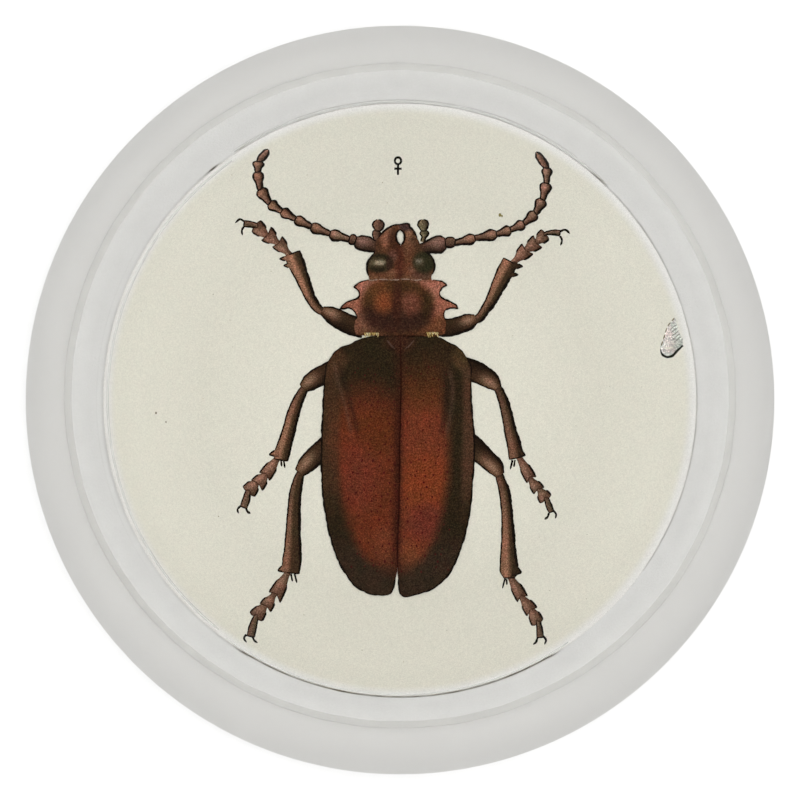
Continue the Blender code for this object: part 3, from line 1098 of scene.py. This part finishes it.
head = []
for place, outer in HEAD_OUTER.items():
    inner = HEAD_INNER[place]
    head.append(wash_between(outer, inner, head_tint, HEAD_LAYER, 26))
    jaw, cheek = (40, 62) if place == "left" else (58, 82)
    head.append(ink_line(outer[:jaw], 1.9, HEAD_LAYER + 2, tremble=0.25))
    head.append(ink_line(outer[jaw:cheek], 1.2, HEAD_LAYER + 2, colour=(62, 42, 32)))
    head.append(ink_line(outer[cheek:-14], 2.1, HEAD_LAYER + 2, tremble=0.25))
    head.append(ink_line(inner[20:60], 2.1, HEAD_LAYER + 2, tremble=0.2))
printed("printed_head", head)

shield = shield_half(SHIELD_EDGE["left"]) + shield_half(SHIELD_EDGE["right"])
front_light = flowing([(-31, 119.3), (-20, 120.6), (-8, 120.2), (4, 121), (16, 120.0), (31, 121)])
for first in range(0, len(front_light) - 8, 9):
    dash, width = front_light[first:first + 9], hand.uniform(1.0, 1.7)
    shield.append(ink_line(dash, width, SHIELD_LAYER + 3, colour=(130, 108, 94), tremble=0.5))
printed("printed_shield", shield)


# Hairs, sign, neighbour and specks
# What else is printed on the paper: the fringe of pale hairs behind the shield, the sign for
# female over the figure, a scrap of the next figure, cut off with the paper, and stray ink.

HAIR_LAYER = 41


def fringe():
    """Short yellow-white hairs, side by side behind the shield's two corners."""
    patches = []
    for start, end, foot, lean in ((-35, -21, 67.5, -0.25), (27, 38.5, 68, 0.35)):
        for x in np.arange(start, end, 1.5):
            length = hand.uniform(2.0, 5.5)
            tip = (x + lean * length + hand.normal(0, 0.4), foot - length)
            shade = hand.uniform(0, 1)
            colour = mixed((226, 216, 170), (146, 120, 58), shade)
            patches.append(ink_line(np.array([(x, foot), tip]), 0.9, HAIR_LAYER, colour=colour))
    return patches


def female_sign():
    turn = np.linspace(0, 2 * math.pi, 33)
    ring = np.column_stack([-2 + 3.2 * np.cos(turn), 239.2 + 3.4 * np.sin(turn)])
    lines = (ring, np.array([(-2, 236), (-2, 225)]), np.array([(-5.7, 231.3), (1.7, 231.3)]))
    return [ink_line(line, 2.3, 1, taper=(1.0, 1.0), colour=(18, 16, 9), tremble=0.1) for line in lines]


def scrap():
    """A grey shape at the paper's right edge: a broken upper outline, a heavy lower one and
    a few slanting strokes between them."""
    upper = flowing([(274.5, 82), (268, 74), (264, 63), (260.5, 52)])
    lower = flowing([(260.5, 51), (262, 46), (267, 43), (271, 43.5), (277, 49), (283, 54.5)])
    outer = flowing([(283, 54.5), (281, 63), (278, 71), (275.5, 82)])

    def pale(x, y, u, v):
        return mixed((211, 210, 204), (176, 175, 168), 0.8 * spot(x, y, (277, 54), (7, 9)))

    patches = [wash(evenly(upper[::-1], 24), evenly(outer, 24), pale, 1, 7)]
    patches.append(wash(evenly(lower, 24), evenly(lower, 24) + (0.0, 8.0), pale, 2, 5))
    patches.append(ink_line(lower, 2.4, 4, taper=(0.4, 0.8), colour=(20, 22, 12)))
    for first in range(0, len(upper) - 5, 6):
        patches.append(ink_line(upper[first:first + 5], 1.1, 3, colour=(104, 92, 58)))
    for step in range(5):
        foot = np.array((269.5 + 1.2 * step, 70 - 3 * step))
        stroke = np.array([foot, foot + (7, 5.5)])
        patches.append(ink_line(stroke, 0.8, 3, taper=(0.9, 0.2), colour=(128, 126, 118)))
    return patches


def specks():
    """Stray touches of ink: a few that stand out, and a fine scatter over the paper."""
    patches = [fleck(100, 185, 3.4, (120, 110, 62), 1), fleck(102, 184, 2.2, (132, 122, 74), 3)]
    patches += [fleck(-244, -13, 2.2, (104, 94, 70), 1), fleck(-234, -22, 1.8, (130, 122, 100), 1)]
    for angle, away in zip(hand.uniform(0, 2 * math.pi, 70), 284 * np.sqrt(hand.uniform(0.05, 1, 70))):
        tone = hand.uniform(0, 1)
        colour = mixed((196, 190, 168), (150, 144, 120), tone**3)
        x, y = away * math.cos(angle), away * math.sin(angle)
        patches.append(fleck(x, y, hand.uniform(0.5, 1.3), colour, 1))
    return patches


printed("printed_hair_fringe", fringe())
printed("printed_female_sign", female_sign())
printed("printed_neighbour_scrap", scrap())
printed("printed_specks", specks())


# Glue line
# Clear glue holds paper and felt to the glass. It has crept a little past the paper's cut
# edge, where it is stained in places and shows as a fine broken line.


def between(angle, low, high, soft=4.0):
    """1 where an angle in degrees lies between low and high, 0 outside, soft at the ends."""
    turned = (angle - low) % 360
    span = (high - low) % 360
    return np.clip(np.minimum(turned, span - turned) / soft + 0.5, 0, 1) * (turned < span)


def line_at(radius, middle, half_width):
    return np.exp(-(((radius - middle) / half_width) ** 2))


def glue_ring():
    """A ring of film as one patch: rows run outwards and columns go round. Its colour and
    how much of it shows follow the angle, since no two sides have the same stain."""
    turn = np.linspace(0, 360, 1081)[None, :]
    away = np.linspace(291.0, 305.0, 57)[:, None]
    angle = np.radians(turn)
    wander = 0.5 * waves(angle, (1, 2, 3, 5), 5)
    patchy = 0.75 + 0.5 * waves(angle, (7, 11, 19, 31, 53, 97), 8)
    stain = 0.85 * between(turn, 238, 301) * line_at(away, 297 + wander, 0.75)
    stain += 0.36 * between(turn, 46, 124) * line_at(away, 296.8 + wander, 0.45)
    stain += 0.3 * between(turn, 54, 124) * line_at(away, 300.2 + wander, 0.45)
    stain += 0.26 * between(turn, 325, 46) * line_at(away, 297 + wander, 0.8)
    stain += 0.12 * between(turn, 124, 238) * line_at(away, 297.6 + wander, 1.2)
    stain += 0.06 * between(turn, 150, 215) * line_at(away, 303.5 + wander, 0.6)
    beads = (48, 2.0, 0.5), (122, 1.2, 0.25), (129, 1.2, 0.8), (238, 1.1, 0.6), (301, 1.1, 0.6)
    for place, reach, depth in beads:
        off = (turn - place + 180) % 360 - 180
        stain += depth * np.exp(-((off / reach) ** 2)) * line_at(away, 297.5, 0.9)
    light = 0.7 * between(turn, 234, 305) * line_at(away, 295.2 + wander, 0.8)
    light += 0.6 * between(turn, 46, 124) * line_at(away, 298.5 + wander, 0.7)
    light += 0.6 * between(turn, 125, 232) * line_at(away, 292.4, 1.3)
    stain = np.clip(stain * patchy, 0, 1)
    colour = mixed((229, 230, 227), (88, 76, 44), stain / np.maximum(stain + light, 1e-6))
    shows = np.clip(stain + light, 0, 1)[..., None]
    x, y = away * np.cos(angle), away * np.sin(angle)
    return x, y, np.concatenate([colour, shows], axis=-1), 3, WASH


glue = printed("glue_line", [glue_ring()])
glue.data.materials.clear()
glue.data.materials.append(tinted_material("clear_glue", 1.3, 0.0, 0.4, film=True))


# Crystal dome
# One solid piece of clear crystal, cast and polished on every face: a spherical cap on a
# short upright wall, with the edges just broken. Paper and felt are glued to its flat foot.

SHOULDER_ROUND = 0.8 * MM
FOOT_CHAMFER = 0.8 * MM
CHAMFER_ROUND = 0.08 * MM


def dome_shape():
    """Rows of (radius, height): the cap's arc, a round tangent to cap and wall, the wall,
    a narrow chamfer with eased corners and the flat foot."""
    centre = cap_centre_height()
    reach = CAP_SPHERE_RADIUS - SHOULDER_ROUND
    round_r = DOME_RADIUS - SHOULDER_ROUND
    round_z = centre + math.sqrt(reach**2 - round_r**2)
    tangent = math.acos(round_r / reach)
    cap = np.linspace(math.pi / 2, tangent, 190)
    edge = np.linspace(tangent, 0.0, 10)[1:]
    rows = [(CAP_SPHERE_RADIUS * math.cos(a), centre + CAP_SPHERE_RADIUS * math.sin(a)) for a in cap]
    rows += [(round_r + SHOULDER_ROUND * math.cos(a), round_z + SHOULDER_ROUND * math.sin(a)) for a in edge]
    foot, ease = BOND_PLANE, CHAMFER_ROUND
    inner = DOME_RADIUS - FOOT_CHAMFER
    rows += [(DOME_RADIUS, z) for z in np.linspace(round_z, foot + FOOT_CHAMFER + ease, 9)[1:]]
    rows.append((DOME_RADIUS - 0.3 * ease, foot + FOOT_CHAMFER))
    rows.append((inner, foot + 0.3 * ease))
    rows += [(r, foot) for r in np.linspace(inner - ease, 0.0, 24)]
    profile = np.array(rows)
    columns = np.ones(384)
    return profile[:, :1] * columns, profile[:, 1:] * columns


def clear_crystal():
    """Clear glass, a little grey and warm in so thick a piece, polished on every face."""
    material, tree, shader, place = new_material("clear_crystal")
    shader.inputs["Base Color"].default_value = (0.83, 0.825, 0.808, 1.0)
    shader.inputs["Roughness"].default_value = 0.0
    shader.inputs["Transmission Weight"].default_value = 1.0
    shader.inputs["IOR"].default_value = GLASS_IOR
    return material


dome = solid_of_turns("crystal_dome_body", *dome_shape())
dome.data.materials.append(clear_crystal())
dome.data.set_sharp_from_angle(angle=math.radians(25))
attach(dome, "root")
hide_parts("crystal_dome")


# Studio
# A pale table top under a soft sky that is darkest overhead and brightest along the
# horizon, with one very large soft light above it all. The camera looks straight down from
# above the dome's axis.

TABLE_HALF = 3.0
SKY = [(0.0, 2.6), (0.03, 1.5), (0.06, 0.5), (0.12, 0.15), (0.30, 0.05), (1.0, 0.015)]  # (height, brightness)
SOFT_LIGHT_WATTS = 60.5
SOFT_LIGHT_SIZE = 2.6
SOFT_LIGHT_PLACE = (0.1, 0.05, 1.2)


def table_top():
    mesh = bpy.data.meshes.new("table_top")
    low = -0.02 * MM
    corners = [(sx * TABLE_HALF, sy * TABLE_HALF, low) for sx, sy in ((-1, -1), (1, -1), (1, 1), (-1, 1))]
    mesh.from_pydata(corners, [], [(0, 1, 2, 3)])
    material, tree, shader, place = new_material("white_table")
    shader.inputs["Base Color"].default_value = (0.82, 0.82, 0.82, 1.0)
    shader.inputs["Roughness"].default_value = 0.9
    mesh.materials.append(material)
    table = bpy.data.objects.new("table_top", mesh)
    bpy.context.scene.collection.objects.link(table)
    return table


def soft_sky():
    """Sky whose brightness grows towards the horizon, more so at the right and the back."""
    world = bpy.data.worlds.new("soft_sky")
    world.use_nodes = True
    tree = world.node_tree
    direction = tree.nodes.new("ShaderNodeTexCoord").outputs["Generated"]
    parts = tree.nodes.new("ShaderNodeSeparateXYZ")
    tree.links.new(direction, parts.inputs[0])
    glow = ramp(tree, parts.outputs["Z"], [(height, (light, light, light)) for height, light in SKY])
    sideways = computed(tree, "VectorMath", "DOT_PRODUCT", direction, (0.12, 0.22, 0.0))["Value"]
    strength = computed(tree, "Math", "ADD", sideways, 1.0)[0]
    background = tree.nodes["Background"]
    tree.links.new(glow, background.inputs["Color"])
    tree.links.new(strength, background.inputs["Strength"])
    return world


def soft_light():
    """A large square light that faces down. It isn't mirrored in the glass."""
    lamp = bpy.data.lights.new("soft_light", "AREA")
    lamp.energy = SOFT_LIGHT_WATTS
    lamp.size = SOFT_LIGHT_SIZE
    light = bpy.data.objects.new("soft_light", lamp)
    light.location = SOFT_LIGHT_PLACE
    light.visible_glossy = False
    bpy.context.scene.collection.objects.link(light)


table_top()
scene = bpy.context.scene
scene.world = soft_sky()
soft_light()

lens = bpy.data.cameras.new("camera")
half_view = 400 * SQUARE / (CAMERA_HEIGHT - SHOULDER)
lens.sensor_width = 36.0
lens.lens = lens.sensor_width / 2 / half_view
lens.clip_start = 0.01
camera = bpy.data.objects.new("camera", lens)
camera.location = (0.0, 0.0, CAMERA_HEIGHT)
scene.collection.objects.link(camera)
scene.camera = camera
scene.view_settings.view_transform = "Standard"
scene.cycles.max_bounces = 16
scene.cycles.transmission_bounces = 16
scene.cycles.diffuse_bounces = 6
scene.cycles.transparent_max_bounces = 16
